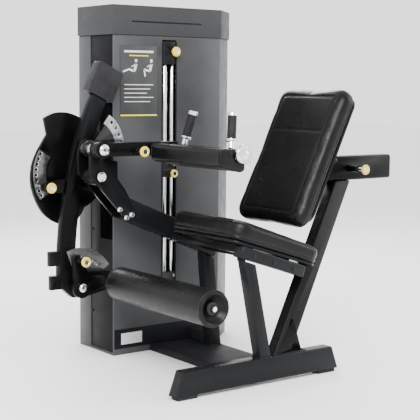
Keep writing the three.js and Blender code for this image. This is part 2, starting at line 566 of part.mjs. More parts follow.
function buildRoller() {
  const linkY = LINK.y;
  add('link_sector', linkSector(), SILVER, [LINK.x, ARM.y - ARM.thickness / 2 - GAP - 3, LINK.z]);
  const [pinX, pinZ] = polar(LINK_PIN.ring, LINK_PIN.angle);
  const linkFace = linkY - LINK.thickness / 2;
  add('link_pin', springPin(LINK_PIN.length, LINK_PIN.tip), YELLOW, [LINK.x + pinX, linkFace, LINK.z + pinZ]);
  add('roller_link', linkArm(), BLACK_PAINT, [LINK.x, linkY, LINK.z]);
  const pivotStart = linkY - LINK.thickness / 2 - 3;
  const pivotEnd = ARM.y + ARM.thickness / 2 + 6;
  const bolt = turned([[0, pivotEnd], [10, pivotEnd], [10, pivotStart], [17, pivotStart],
    [17, pivotStart - 6], [13, pivotStart - 9], [0, pivotStart - 9]], 24);
  add('link_pivot_bolt', bolt, CHROME, [LINK.x, 0, LINK.z]);
  const { x, z, radius, y0, y1 } = ROLLER;
  const foam = turned([[15, y0 + 26], [15, y1], [radius - 10, y1], [radius, y1 - 10], [radius, y0 + 10],
    [radius - 8, y0], [radius - 24, y0 + 3], [radius - 34, y0 + 26], [15, y0 + 26]], 20);
  add('ankle_roller', foam, VINYL, [x, 0, z]);
  const axleEnd = linkY + LINK.thickness / 2 + 4;
  const axle = turned([[0, axleEnd], [AXLE_R, axleEnd], [AXLE_R, y0 + 24], [0, y0 + 24]], 24);
  add('roller_axle', axle, CHROME, [x, 0, z]);
  const hub = turned([[0, y0 + 23], [24, y0 + 23], [24, y0 + 14], [14, y0 + 12], [13, y0 + 4],
    [9, y0 + 1], [0, y0 + 1]], 24);
  add('roller_axle_cap', hub, CHROME, [x, 0, z]);
}

// ---------------------------------------------------------------- weight tower
function towerFootprint(inset, x0 = TOWER.x0) {
  const { x1, chamferX, chamferY, y0, y1 } = TOWER;
  const slope = inset * 0.45;
  return [[x0 + inset, y0 + inset], [x1 - slope, y0 + inset], [x1 + chamferX - inset, y0 + chamferY + slope],
    [x1 + chamferX - inset, y1 - inset], [x0 + inset, y1 - inset]];
}

function towerShell() {
  const height = TOWER.z1 - TOWER.z0;
  const outer = sheetXY(outline(towerFootprint(0)), height);
  const inner = at(sheetXY(outline(towerFootprint(SHEET)), height + 20), 0, 0, TOWER_FLOOR);
  const openSide = span(TOWER.x0 - 20, TOWER.x0 + SHEET + 4, TOWER.y0 + SHEET,
    TOWER.y1 - SIDE_REAR_STRIP, TOWER_FLOOR, height + 20);
  const slot = span(SLOT.x0, SLOT.x1, TOWER.y0 - 10, TOWER.y0 + 10, SLOT.z0 - TOWER.z0, SLOT.z1 - TOWER.z0);
  return cut(outer, inner, openSide, slot);
}

function sidePanel() {
  const height = TOWER.z1 - TOWER.z0;
  const y0 = TOWER.y0 + SHEET + 2;
  const y1 = TOWER.y1 - SIDE_REAR_STRIP - 1;
  const panel = span(TOWER.x0 + 2, TOWER.x0 + SHEET + 2, y0, y1, TOWER_FLOOR + GAP, height);
  const doorway = span(TOWER.x0 - 10, TOWER.x0 + 20, y0 - 10, y0 + 94, 470 - TOWER.z0, 1040 - TOWER.z0);
  return cut(panel, doorway);
}

function towerCap() {
  const { x0, x1, chamferX, chamferY, y0, y1 } = TOWER;
  const shell = (o) => outline([[x0 - o, y0 - o], [x1 + o * 0.4, y0 - o],
    [x1 + chamferX + o, y0 + chamferY - o * 0.4], [x1 + chamferX + o, y1 + Math.min(o, 0)],
    [x0 - o, y1 + Math.min(o, 0)]]);
  const hollow = sheetXY(shell(CAP.overhang - CAP.wall), CAP.height).translate(0, 0, -CAP.wall);
  return cut(sheetXY(shell(CAP.overhang), CAP.height), hollow);
}

function buildTower() {
  add('tower_shell', towerShell(), GREY_PANEL, [0, 0, TOWER.z0]);
  add('tower_side_panel', sidePanel(), DARK_PANEL, [0, 0, TOWER.z0]);
  add('tower_cap', towerCap(), CAP_GREY, [0, 0, TOWER.z1 + GAP]);
  const kick = span(TOWER.x0 + 4, TOWER.x1 - 4, TOWER.y0 - 4 - GAP, TOWER.y0 - GAP, 26, 104);
  add('kick_panel', kick, DARK_PANEL);
  const placard = span(209, 383, TOWER.y0 - 3 - GAP, TOWER.y0 - GAP, 964, 1243);
  add('placard', placard, PRINT);
}

// ---------------------------------------------------------------- weight stack
function stackPlate(thickness) {
  const body = sheetXY(roundedRect(STACK.width, STACK.depth, 6), thickness, 1);
  const rods = ROD.x.map((x) => at(rodZ(ROD.radius + 1.2, 200, 12), x - STACK.x, ROD.y - STACK.y, 0));
  const stem = at(block(17, 24, 200), 0, BELT.y - STACK.y, 0);
  const pin = at(rodY(6, 40, 8), 0, -STACK.depth / 2, thickness / 2);
  return [body, [...rods, stem], pin];
}

function buildStack() {
  const place = (z) => [STACK.x, STACK.y, z];
  const resting = [];
  for (let i = 0; i < STACK_LOWER; i += 1) {
    resting.push(at(stackPlate(STACK.plate)[0], 0, 0, i * STACK.pitch));
  }
  const nub = (side) => span(side * 100 - 6, side * 100 + 6, -30, 30, 5, (STACK_LOWER - 1) * STACK.pitch + 5);
  const pedestal = span(-100, 100, -40, 40, TOWER_FLOOR + GAP - STACK.base, 1);
  const tall = stackPlate(STACK.plate)[1].map((hole) => hole.scale(1, 1, 4));
  add('resting_plates', cut(join(...resting, nub(1), nub(-1), pedestal), ...tall), CAST_IRON, place(STACK.base));
  const liftedBase = STACK.base + STACK_LOWER * STACK.pitch + STACK_LIFT;
  for (let i = 0; i < STACK_LIFTED; i += 1) {
    const [body, holes, pin] = stackPlate(STACK.plate);
    const solid = cut(body, ...holes, pin);
    add(`lifted_plate_${i + 1}`, solid, CAST_IRON, place(liftedBase + i * STACK.pitch));
  }
  const topZ = liftedBase + STACK_LIFTED * STACK.pitch;
  const [top, holes] = stackPlate(46);
  add('top_plate', cut(top, ...holes), BLACK_PAINT, place(topZ));
  const pinZ = liftedBase + STACK.plate / 2;
  const selector = turned([[0, -41], [5, -41], [5, -66], [15, -68], [17, -74], [17, -84], [13, -88], [0, -88]], 14);
  add('weight_selector_pin', selector, YELLOW, [STACK.x, STACK.y, pinZ]);
}

function buildDrive() {
  const top = TOWER.z1 - 4;
  const bottom = TOWER_FLOOR + GAP;
  ROD.x.forEach((x, i) => {
    const rod = rodZ(ROD.radius, top - bottom, 16);
    add(`guide_rod_${i + 1}`, rod, CHROME, [x, ROD.y, (top + bottom) / 2]);
  });
  const pulley = (radius) => turned([[6, -PULLEY_WIDTH / 2], [radius + 5, -PULLEY_WIDTH / 2],
    [radius + 5, -PULLEY_WIDTH / 2 + 3], [radius, -PULLEY_WIDTH / 2 + 4], [radius, PULLEY_WIDTH / 2 - 4],
    [radius + 5, PULLEY_WIDTH / 2 - 3], [radius + 5, PULLEY_WIDTH / 2], [6, PULLEY_WIDTH / 2],
    [6, -PULLEY_WIDTH / 2]], 20);
  add('low_pulley', pulley(LOW_PULLEY.radius), DARK_PANEL, [LOW_PULLEY.x, BELT.y, LOW_PULLEY.z]);
  add('top_pulley', pulley(TOP_PULLEY.radius), DARK_PANEL, [TOP_PULLEY.x, BELT.y, TOP_PULLEY.z]);
  add('belt', driveBelt(), RUBBER, [0, BELT.y, 0]);
  const block = span(SLOT.x0 + 3, SLOT.x1 - 3, TOWER.y0 + 1, TOWER.y0 + 17, 1172, 1264);
  const bore = at(rodY(7, 200, 16), ADDON_PIN.x, TOWER.y0, ADDON_PIN.z);
  add('add_on_block', cut(block, bore), BLACK_PAINT);
  const pin = springPin(ADDON_PIN.length, ADDON_PIN.tip);
  add('add_on_pin', pin, YELLOW, [ADDON_PIN.x, TOWER.y0 + 1, ADDON_PIN.z]);
}

// Belt path: level from the cam, under the low pulley, up, over the top pulley and down to the plates.
function driveBelt() {
  const clearance = GAP;
  const lowR = LOW_PULLEY.radius + clearance;
  const topR = TOP_PULLEY.radius + clearance;
  const t = BELT.thickness;
  const shape = new THREE.Shape();
  shape.moveTo(BELT.start, LOW_PULLEY.z - lowR);
  shape.absarc(LOW_PULLEY.x, LOW_PULLEY.z, lowR, rad(270), rad(360), false);
  shape.absarc(TOP_PULLEY.x, TOP_PULLEY.z, topR + t, rad(180), rad(0), true);
  shape.lineTo(TOP_PULLEY.x + topR + t, BELT.end);
  shape.lineTo(TOP_PULLEY.x + topR, BELT.end);
  shape.absarc(TOP_PULLEY.x, TOP_PULLEY.z, topR, rad(0), rad(180), false);
  shape.absarc(LOW_PULLEY.x, LOW_PULLEY.z, lowR + t, rad(360), rad(270), true);
  shape.lineTo(BELT.start, LOW_PULLEY.z - lowR - t);
  return sheetXZ(shape, BELT.width, 8);
}

buildBase();
buildSeatFrame();
buildSeat();
buildBracket();
buildLapPad();
buildBack();
buildCam();
buildArm();
buildRoller();
buildTower();
buildStack();
buildDrive();

// The origin is the middle of the footprint, on the floor.
const footprint = new THREE.Box3().setFromObject(machine);
const centre = footprint.getCenter(new THREE.Vector3());
machine.position.set(-centre.x, -centre.y, -footprint.min.z);

export default machine;
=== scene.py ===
"""Looks of the seated leg curl machine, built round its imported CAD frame. Metres, +Z up."""

import json
import math

import bmesh
import bpy
from mathutils import Matrix, Vector
from mathutils.bvhtree import BVHTree
from mathutils.kdtree import KDTree


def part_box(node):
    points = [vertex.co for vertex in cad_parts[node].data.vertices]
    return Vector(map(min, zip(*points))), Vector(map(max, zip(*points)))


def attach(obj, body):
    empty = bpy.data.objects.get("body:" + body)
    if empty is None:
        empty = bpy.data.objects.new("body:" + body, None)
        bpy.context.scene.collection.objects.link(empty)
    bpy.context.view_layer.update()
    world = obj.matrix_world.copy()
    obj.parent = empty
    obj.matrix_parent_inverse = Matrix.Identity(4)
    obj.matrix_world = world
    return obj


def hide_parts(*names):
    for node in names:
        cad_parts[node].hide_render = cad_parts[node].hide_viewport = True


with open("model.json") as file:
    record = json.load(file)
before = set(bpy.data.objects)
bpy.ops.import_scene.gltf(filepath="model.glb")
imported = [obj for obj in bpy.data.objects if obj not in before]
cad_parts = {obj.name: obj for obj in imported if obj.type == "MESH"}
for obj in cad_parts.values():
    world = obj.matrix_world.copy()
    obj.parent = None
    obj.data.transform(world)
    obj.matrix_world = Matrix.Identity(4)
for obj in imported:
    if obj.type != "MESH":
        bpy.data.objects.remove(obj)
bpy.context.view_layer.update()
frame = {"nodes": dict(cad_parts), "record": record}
NODES = frame["nodes"]
BODY_OF = {node: body for body, nodes in frame["record"]["behaviour"]["bodies"].items() for node in nodes}
SLOT_OF = {part["node"]: part["material_slot"] for part in frame["record"]["subparts"]}

SMOOTH = math.radians(33)        # faces that meet at less than this angle shade as one surface
EDGE = 0.0012                    # round-over of metal edges
THREAD = 0.0011                  # radius of the seam welts
SEAM_DEPTH, SEAM_WIDTH = 0.0026, 0.006
SEAT_CORNER = 0.07               # radius of the seat's seams at its corners
PAD_SHRINK = 0.0015              # how much smaller than its solid a pad starts, on each side
PAD_VOXEL = 0.007                # remesh size of a pad before it is inflated
PRESSURE = 4.0                   # cloth pressure that inflates a pad
CONVEX = (0.53, 0.62)            # pointiness at which the painted edge highlight starts, and is complete
BAR_SLANT = 0.033                # how far the floor bar's ends lean over its height
RAIL_PITCH = 18.3                # slope of the seat rail, degrees
SLOT_HEIGHTS = (0.212, 1.262)    # ends of the trim along the tower's slot
SIDE_BOLT_HEIGHTS = (0.16, 0.5, 0.84, 1.18)
BRACKET_BOLTS = ((0.132, 0.045), (0.162, 0.012), (0.185, 0.022))    # X and Z from the bracket's corner
WELD_RADIUS = 0.0032
RIM_BAND = 0.004                 # how near a given height a leg's outline is read
STACK_BASE = 0.11                # height of the lowest plate above the foot of the stack
TAG_RISE = 0.012                 # height of a tag above its plate's lower face
# plate, axis, radius of the ring of holes, first angle, step, number of holes, radius of a hole
INDEX_HOLES = (("lap_sector", "lap_pivot_bolt", 0.136, -2.5, 12, 5, 0.007),
               ("cam_index_plate", "knee_shaft", 0.160, 150.5, 7.5, 9, 0.0055),
               ("link_sector", "link_pivot_bolt", 0.112, 101, -13, 5, 0.0056))
LAP_RIM = 0.112                  # inner radius of the bare rim on the lap pad's index plate


# ---------------------------------------------------------------- camera, floor and light
CAMERA = {"from_bar": (-2.1762, -3.0893, 1.0912), "heading": 36.855, "pitch": 6.369, "roll": 0.494,
          "lens": 96.256, "sensor": 36.0}


def look_axes(heading, pitch, roll):
    """Right, up and backward axes of a camera that heads from +Y towards +X and looks down."""
    h, p, r = (math.radians(value) for value in (heading, pitch, roll))
    ahead = Vector((math.sin(h) * math.cos(p), math.cos(h) * math.cos(p), -math.sin(p)))
    level = Vector((math.cos(h), -math.sin(h), 0.0))
    above = level.cross(ahead)
    right = math.cos(r) * level + math.sin(r) * above
    up = -math.sin(r) * level + math.cos(r) * above
    return right, up, -ahead


def make_camera():
    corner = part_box("foot_bar")[0]
    data = bpy.data.cameras.new("camera")
    data.lens = CAMERA["lens"]
    data.sensor_width = CAMERA["sensor"]
    data.clip_end = 60
    camera = bpy.data.objects.new("camera", data)
    bpy.context.scene.collection.objects.link(camera)
    right, up, back = look_axes(CAMERA["heading"], CAMERA["pitch"], CAMERA["roll"])
    turn = Matrix((right, up, back)).transposed().to_4x4()
    place = Vector((corner.x, corner.y, 0)) + Vector(CAMERA["from_bar"])
    camera.matrix_world = Matrix.Translation(place) @ turn
    bpy.context.scene.camera = camera


def area_light(name, place, target, size, power):
    data = bpy.data.lights.new(name, "AREA")
    data.shape = "RECTANGLE"
    data.size, data.size_y = size
    data.energy = power
    lamp = bpy.data.objects.new(name, data)
    bpy.context.scene.collection.objects.link(lamp)
    aim = Vector(target) - Vector(place)
    lamp.matrix_world = Matrix.Translation(Vector(place)) @ aim.to_track_quat("-Z", "Y").to_matrix().to_4x4()


def make_studio():
    bpy.ops.mesh.primitive_plane_add(size=40, location=(0, 0, -0.0005))
    floor = bpy.context.object
    floor.name = "studio_floor"
    paint = bpy.data.materials.new("studio_floor")
    paint.use_nodes = True
    shader = paint.node_tree.nodes["Principled BSDF"]
    shader.inputs["Base Color"].default_value = (0.93, 0.93, 0.93, 1)
    shader.inputs["Roughness"].default_value = 0.8
    floor.data.materials.append(paint)
    world = bpy.data.worlds.new("studio")
    world.use_nodes = True
    world.node_tree.nodes["Background"].inputs["Color"].default_value = (1, 1, 1, 1)
    world.node_tree.nodes["Background"].inputs["Strength"].default_value = 2.0
    bpy.context.scene.world = world
    area_light("key", (-2.4, -2.8, 2.9), (0, 0.1, 0.8), (2.2, 1.6), 280)
    area_light("fill", (3.2, -1.8, 1.8), (0, 0, 0.6), (1.6, 2.2), 45)
    area_light("rim", (1.2, 3.0, 2.8), (0, 0.2, 0.8), (2.6, 1.2), 160)


# ---------------------------------------------------------------- materials
def new_material(name, color, roughness, metallic=0.0, specular=0.5):
    made = bpy.data.materials.new(name)
    made.use_nodes = True
    shader = made.node_tree.nodes["Principled BSDF"]
    shader.inputs["Base Color"].default_value = (*color, 1)
    shader.inputs["Roughness"].default_value = roughness
    shader.inputs["Metallic"].default_value = metallic
    shader.inputs["Specular IOR Level"].default_value = specular
    return made


def node(made, kind, **inputs):
    """Adds a node and sets the inputs given by name."""
    added = made.node_tree.nodes.new(kind)
    for key, value in inputs.items():
        added.inputs[key.replace("_", " ")].default_value = value
    return added


def link(made, source, target):
    made.node_tree.links.new(source, target)


def place_of(made, stretch=(1, 1, 1)):
    """Object coordinates, stretched along chosen axes."""
    coords = node(made, "ShaderNodeTexCoord")
    mapping = node(made, "ShaderNodeMapping")
    mapping.inputs["Scale"].default_value = stretch
    link(made, coords.outputs["Object"], mapping.inputs["Vector"])
    return mapping.outputs["Vector"]


def noise(made, vector, scale, detail=3.0):
    texture = node(made, "ShaderNodeTexNoise", Scale=scale, Detail=detail)
    link(made, vector, texture.inputs["Vector"])
    return texture.outputs["Fac"]


def ramp(made, factor, low, high, start=0.35, end=0.65):
    """Colour that goes from low to high as the factor goes from start to end."""
    made_ramp = node(made, "ShaderNodeValToRGB")
    ends = made_ramp.color_ramp.elements
    ends[0].position, ends[1].position = start, end
    ends[0].color, ends[1].color = (*low, 1), (*high, 1)
    link(made, factor, made_ramp.inputs["Fac"])
    return made_ramp.outputs["Color"]


def vary_color(made, vector, scale, low, high):
    color = ramp(made, noise(made, vector, scale), low, high)
    link(made, color, made.node_tree.nodes["Principled BSDF"].inputs["Base Color"])
    return color


def vary_roughness(made, vector, scale, low, high):
    value = node(made, "ShaderNodeMapRange", To_Min=low, To_Max=high, From_Min=0.3, From_Max=0.7)
    link(made, noise(made, vector, scale), value.inputs["Value"])
    link(made, value.outputs["Result"], made.node_tree.nodes["Principled BSDF"].inputs["Roughness"])


def bump(made, height, strength, distance, below=None):
    bumped = node(made, "ShaderNodeBump", Strength=strength, Distance=distance)
    link(made, height, bumped.inputs["Height"])
    if below is not None:
        link(made, below, bumped.inputs["Normal"])
    link(made, bumped.outputs["Normal"], made.node_tree.nodes["Principled BSDF"].inputs["Normal"])
    return bumped.outputs["Normal"]


def paint_edge_highlight(made, base, highlight_color):
    """Mixes a lighter tone in where the surface is most convex: a painted highlight along the edges."""
    geometry = node(made, "ShaderNodeNewGeometry")
    mask = ramp(made, geometry.outputs["Pointiness"], (0, 0, 0), (1, 1, 1), *CONVEX)
    mix = made.node_tree.nodes.new("ShaderNodeMix")
    mix.data_type = "RGBA"
    link(made, mask, mix.inputs[0])
    link(made, base, mix.inputs[6])
    mix.inputs[7].default_value = (*highlight_color, 1)
    link(made, mix.outputs[2], made.node_tree.nodes["Principled BSDF"].inputs["Base Color"])


def powder_coat(name, low, high, edge, roughness, specular):
    """Sprayed and baked paint: fine orange peel, faint clouds of tone, and a painted highlight on the edges.
    """
    made = new_material(name, low, roughness, specular=specular)
    where = place_of(made)
    base = vary_color(made, where, 6, low, high)
    # the edge colour is a highlight painted on the most convex edges
    paint_edge_highlight(made, base, edge)
    vary_roughness(made, where, 22, roughness - 0.06, roughness + 0.07)
    bump(made, noise(made, where, 900, 2), 0.12, 0.0006)
    return made


def leather_grain(name, low, high, roughness, scale):
    """Grained vinyl: cells of creased grain over a soft mottling."""
    made = new_material(name, low, roughness, specular=0.16)
    where = place_of(made)
    vary_color(made, where, 14, low, high)
    vary_roughness(made, where, 60, roughness - 0.08, roughness + 0.08)
    cells = node(made, "ShaderNodeTexVoronoi", Scale=scale)
    cells.feature = "DISTANCE_TO_EDGE"
    link(made, where, cells.inputs["Vector"])
    first = bump(made, cells.outputs["Distance"], 0.35, 0.0005)
    bump(made, noise(made, where, 160, 4), 0.2, 0.0012, below=first)
    made.node_tree.nodes["Principled BSDF"].inputs["Sheen Weight"].default_value = 0.01
    made.node_tree.nodes["Principled BSDF"].inputs["Sheen Roughness"].default_value = 0.5
    return made


def bright_metal(name, low, high, roughness, stretch, scale):
    """Plated or polished metal with fine marks along one direction."""
    made = new_material(name, low, roughness, metallic=1.0)
    where = place_of(made, stretch)
    vary_color(made, where, 30, low, high)
    vary_roughness(made, where, scale, roughness * 0.7, roughness * 1.4)
    bump(made, noise(made, where, scale, 2), 0.06, 0.0003)
    return made


def moulded(name, low, high, roughness, scale=420, strength=0.2):
    """Rubber or plastic with a fine moulded texture."""
    made = new_material(name, low, roughness, specular=0.25)
    where = place_of(made)
    vary_color(made, where, 18, low, high)
    vary_roughness(made, where, 40, roughness - 0.07, roughness + 0.07)
    bump(made, noise(made, where, scale, 3), strength, 0.0006)
    return made


def rimmed_steel(name, centre, radius):
    """Plated steel outside a radius round an axis along Y, black paint inside it."""
    made = new_material(name, (0.4, 0.41, 0.42), 0.32)
    where = place_of(made)
    apart = node(made, "ShaderNodeVectorMath")
    apart.operation = "SUBTRACT"
    apart.inputs[1].default_value = centre
    link(made, where, apart.inputs[0])
    flat = node(made, "ShaderNodeVectorMath")
    flat.operation = "MULTIPLY"
    flat.inputs[1].default_value = (1, 0, 1)
    link(made, apart.outputs[0], flat.inputs[0])
    far = node(made, "ShaderNodeVectorMath")
    far.operation = "LENGTH"
    link(made, flat.outputs[0], far.inputs[0])
    mask = node(made, "ShaderNodeMapRange", From_Min=radius - 0.0008, From_Max=radius + 0.0008)
    link(made, far.outputs["Value"], mask.inputs["Value"])
    shader = made.node_tree.nodes["Principled BSDF"]
    link(made, ramp(made, mask.outputs["Result"], (0.004, 0.004, 0.0045), (0.42, 0.43, 0.44), 0.3, 0.7),
         shader.inputs["Base Color"])
    link(made, mask.outputs["Result"], shader.inputs["Metallic"])
    vary_roughness(made, where, 60, 0.24, 0.4)
    bump(made, noise(made, where, 500, 2), 0.08, 0.0004)
    return made


def woven(name, low, high):
    """Drive belt: fabric-backed rubber with lines across it."""
    made = new_material(name, low, 0.6)
    where = place_of(made)
    vary_color(made, where, 40, low, high)
    wave = node(made, "ShaderNodeTexWave", Scale=220.0, Distortion=0.4)
    wave.bands_direction = "Z"
    link(made, where, wave.inputs["Vector"])
    bump(made, wave.outputs["Fac"], 0.4, 0.0006)
    return made


def cast_iron(name, low, high):
    made = new_material(name, low, 0.55, specular=0.15)
    where = place_of(made)
    base = vary_color(made, where, 35, low, high)
    # a lighter colour painted on the convex edges as a highlight
    paint_edge_highlight(made, base, (0.07, 0.07, 0.075))
    vary_roughness(made, where, 70, 0.4, 0.62)
    first = bump(made, noise(made, where, 260, 5), 0.35, 0.0009)
    bump(made, noise(made, where, 38, 2), 0.15, 0.002, below=first)
    return made


# the fourth colour of each powder coat is a highlight painted on its convex edges
LOOKS = {
    "black_frame": powder_coat("black_frame", (0.0012, 0.0012, 0.0014), (0.0024, 0.0025, 0.0028),
                               (0.02, 0.021, 0.023), 0.24, specular=0.075),
    "deck_paint": powder_coat("deck_paint", (0.004, 0.0041, 0.0045), (0.007, 0.0072, 0.0078),
                              (0.02, 0.021, 0.023), 0.55, specular=0.1),
    "tower_grey": powder_coat("tower_grey", (0.03, 0.031, 0.033), (0.04, 0.0415, 0.044),
                              (0.08, 0.082, 0.085), 0.38, specular=0.2),
    "tower_dark": powder_coat("tower_dark", (0.002, 0.0021, 0.0023), (0.0034, 0.0035, 0.0038),
                              (0.015, 0.0155, 0.017), 0.4, specular=0.05),
    "cap_grey": powder_coat("cap_grey", (0.0125, 0.013, 0.0138), (0.0175, 0.018, 0.019),
                            (0.05, 0.051, 0.053), 0.42, specular=0.16),
    "vinyl": leather_grain("vinyl", (0.0014, 0.0014, 0.0016), (0.003, 0.0031, 0.0034), 0.34, 620),
    "rubber_foot": moulded("rubber_foot", (0.005, 0.005, 0.005), (0.01, 0.01, 0.01), 0.75),
    "grip_rubber": moulded("grip_rubber", (0.005, 0.005, 0.0053), (0.01, 0.01, 0.0105), 0.6, 700, 0.35),
    "pulley_plastic": moulded("pulley_plastic", (0.02, 0.02, 0.021), (0.032, 0.032, 0.034), 0.45),
    "belt_rubber": woven("belt_rubber", (0.006, 0.006, 0.0065), (0.015, 0.015, 0.016)),
    "plated_steel": bright_metal("plated_steel", (0.42, 0.43, 0.44), (0.54, 0.55, 0.56), 0.3, (1, 1, 9), 90),
    "dark_steel": bright_metal("dark_steel", (0.11, 0.112, 0.116), (0.17, 0.172, 0.176), 0.38, (1, 1, 5), 90),
    "chrome": bright_metal("chrome", (0.78, 0.79, 0.8), (0.86, 0.87, 0.88), 0.1, (1, 6, 1), 140),
    "yellow_knob": moulded("yellow_knob", (0.62, 0.45, 0.035), (0.74, 0.55, 0.06), 0.3, 300, 0.05),
    "cast_iron": cast_iron("cast_iron", (0.006, 0.0061, 0.0065), (0.012, 0.0122, 0.013)),
    "placard_print": moulded("placard_print", (0.03, 0.031, 0.032), (0.038, 0.039, 0.04), 0.5, 500, 0.06),
    "print_light": moulded("print_light", (0.48, 0.48, 0.48), (0.56, 0.56, 0.56), 0.5, 500, 0.05),
    "print_yellow": moulded("print_yellow", (0.55, 0.5, 0.05), (0.65, 0.58, 0.08), 0.5, 500, 0.05),
    "stitch": moulded("stitch", (0.008, 0.008, 0.009), (0.014, 0.014, 0.0155), 0.5, 900, 0.3),
}


# ---------------------------------------------------------------- building pieces
def shade(mesh):
    """Smooth shading that stays sharp across real edges."""
    for face in mesh.polygons:
        face.use_smooth = True
    mesh.set_sharp_from_angle(angle=SMOOTH)


def finish_piece(name, mesh, body, look, replaces=()):
    """Turns a mesh in the row frame into a piece of the object."""
    shade(mesh)
    piece = bpy.data.objects.new(name, mesh)
    bpy.context.scene.collection.objects.link(piece)
    looks = [look] if isinstance(look, str) else look
    if not mesh.materials:
        for one in looks:
            mesh.materials.append(LOOKS[one])
    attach(piece, body)
    if replaces:
        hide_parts(*replaces)
    return piece


def mesh_of(bm, name):
    bmesh.ops.recalc_face_normals(bm, faces=bm.faces)
    mesh = bpy.data.meshes.new(name)
    bm.to_mesh(mesh)
    bm.free()
    return mesh


def cad_mesh(node_name):
    """The CAD node's shape with its flat faces whole again."""
    bm = bmesh.new()
    bm.from_mesh(NODES[node_name].data)
    bmesh.ops.remove_doubles(bm, verts=bm.verts, dist=2e-5)
    bmesh.ops.dissolve_limit(bm, angle_limit=math.radians(0.5), verts=bm.verts, edges=bm.edges)
    return bm


def round_edges(bm, radius, segments=2):
    sharp = [e for e in bm.edges if len(e.link_faces) == 2 and e.calc_face_angle(0) > SMOOTH]
    if radius > 0 and sharp:
        bmesh.ops.bevel(bm, geom=sharp, offset=radius, segments=segments, profile=0.5, affect="EDGES",
                        clamp_overlap=True)


def refine(node_name, edge=EDGE, look=None):
    """Stands in for a CAD node with the same shape, its edges rounded over."""
    bm = cad_mesh(node_name)
    round_edges(bm, edge)
    mesh = mesh_of(bm, node_name + "_made")
    return finish_piece(node_name + "_made", mesh, BODY_OF[node_name], look or SLOT_OF[node_name],
                        (node_name,))


def basis_of(axis):
    """Two directions square to an axis, and the axis itself."""
    axis = Vector(axis).normalized()
    side = axis.orthogonal().normalized()
    return side, axis.cross(side), axis


def turns_of(sides):
    """Evenly spaced angles of a full turn."""
    return [2 * math.pi * i / sides for i in range(sides)]


def axis_of(node_name):
    """Near end of a turned node's axis, which runs along Y."""
    low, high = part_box(node_name)
    return Vector(((low.x + high.x) / 2, low.y, (low.z + high.z) / 2))


def surface_tree(mesh):
    return BVHTree.FromPolygons([v.co for v in mesh.vertices], [p.vertices for p in mesh.polygons])


def lathe(name, base, axis, profile, body, looks, replaces=(), sides=48):
    """A turned piece; profile lists (distance along the axis, radius, look index) from end to end."""
    u, v, w = basis_of(axis)
    base = Vector(base)
    bm = bmesh.new()
    rings = []
    for station, radius, _ in profile:
        centre = base + w * station
        if radius <= 0:
            rings.append([bm.verts.new(centre)])
            continue
        rings.append([bm.verts.new(centre + u * math.cos(t) * radius + v * math.sin(t) * radius)
                      for t in turns_of(sides)])
    for (a, b), (_, _, index) in zip(zip(rings, rings[1:]), profile[1:]):
        for i in range(sides):
            j = (i + 1) % sides
            corners = [a[i % len(a)], a[j % len(a)], b[j % len(b)], b[i % len(b)]]
            unique = list(dict.fromkeys(corners))
            if len(unique) > 2:
                bm.faces.new(unique).material_index = index
    return finish_piece(name, mesh_of(bm, name), body, looks, replaces)


def slab(name, low, high, body, look, edge):
    """A plate between two corners with rounded edges."""
    bm = bmesh.new()
    low, high = Vector(low), Vector(high)
    bmesh.ops.create_cube(bm, size=1)
    size = high - low
    for v in bm.verts:
        v.co = Vector(((v.co.x + 0.5) * size.x, (v.co.y + 0.5) * size.y, (v.co.z + 0.5) * size.z)) + low
    bmesh.ops.bevel(bm, geom=bm.edges[:], offset=edge, segments=2, profile=0.5, affect="EDGES",
                    clamp_overlap=True)
    return finish_piece(name, mesh_of(bm, name), body, look)


def tube_mesh(points, radius, closed, sides=8):
    """A thin round tube along points, as a bmesh."""
    bm = bmesh.new()
    rings = []
    count = len(points)
    up = Vector((0.13, 0.21, 0.97)).normalized()
    for i, p in enumerate(points):
        before = points[i - 1] if closed or i > 0 else p
        after = points[(i + 1) % count] if closed or i < count - 1 else p
        along = (after - before).normalized()
        side = along.cross(up)
        side = side.normalized() if side.length > 1e-4 else along.orthogonal().normalized()
        over = side.cross(along).normalized()
        rings.append([bm.verts.new(p + side * math.cos(t) * radius + over * math.sin(t) * radius)
                      for t in turns_of(sides)])
    pairs = list(zip(rings, rings[1:])) + ([(rings[-1], rings[0])] if closed else [])
    for a, b in pairs:
        for k in range(sides):
            bm.faces.new((a[k], a[(k + 1) % sides], b[(k + 1) % sides], b[k]))
    if not closed:
        bm.faces.new(rings[0])
        bm.faces.new(rings[-1])
    return bm


def welt(name, surface, points, closed=True, radius=THREAD):
    """A seam's raised welt, laid on the surface of a soft piece."""
    bpy.context.view_layer.update()
    tree = BVHTree.FromObject(surface, bpy.context.evaluated_depsgraph_get())
    laid = [tree.find_nearest(p)[0] for p in points]
    mesh = mesh_of(tube_mesh(laid, radius, closed, 6), name)
    return finish_piece(name, mesh, surface["body"], "stitch")


def hex_bolt(name, place, axis, across, body, look="chrome"):
    """Washer and a domed hexagon head, seated on a face."""
    u, v, w = basis_of(axis)
    place = Vector(place)
    bm = bmesh.new()
    levels = [(0, across * 0.72, 24), (0.0014, across * 0.72, 24), (0.0016, across * 0.5, 6),
              (across * 0.42, across * 0.5, 6), (across * 0.5, across * 0.36, 6)]
    rings = []
    for station, radius, sides in levels:
        rings.append([bm.verts.new(place + w * station + u * math.cos(t) * radius + v * math.sin(t) * radius)
                      for t in turns_of(sides)])
    bm.faces.new(list(reversed(rings[0])))
    for a, b in ((rings[0], rings[1]), (rings[2], rings[3]), (rings[3], rings[4])):
        for i in range(len(a)):
            bm.faces.new((a[i], a[(i + 1) % len(a)], b[(i + 1) % len(b)], b[i]))
    bm.faces.new(rings[1])
    bm.faces.new(list(reversed(rings[2])))
    bm.faces.new(rings[4])
    return finish_piece(name, mesh_of(bm, name), body, look)


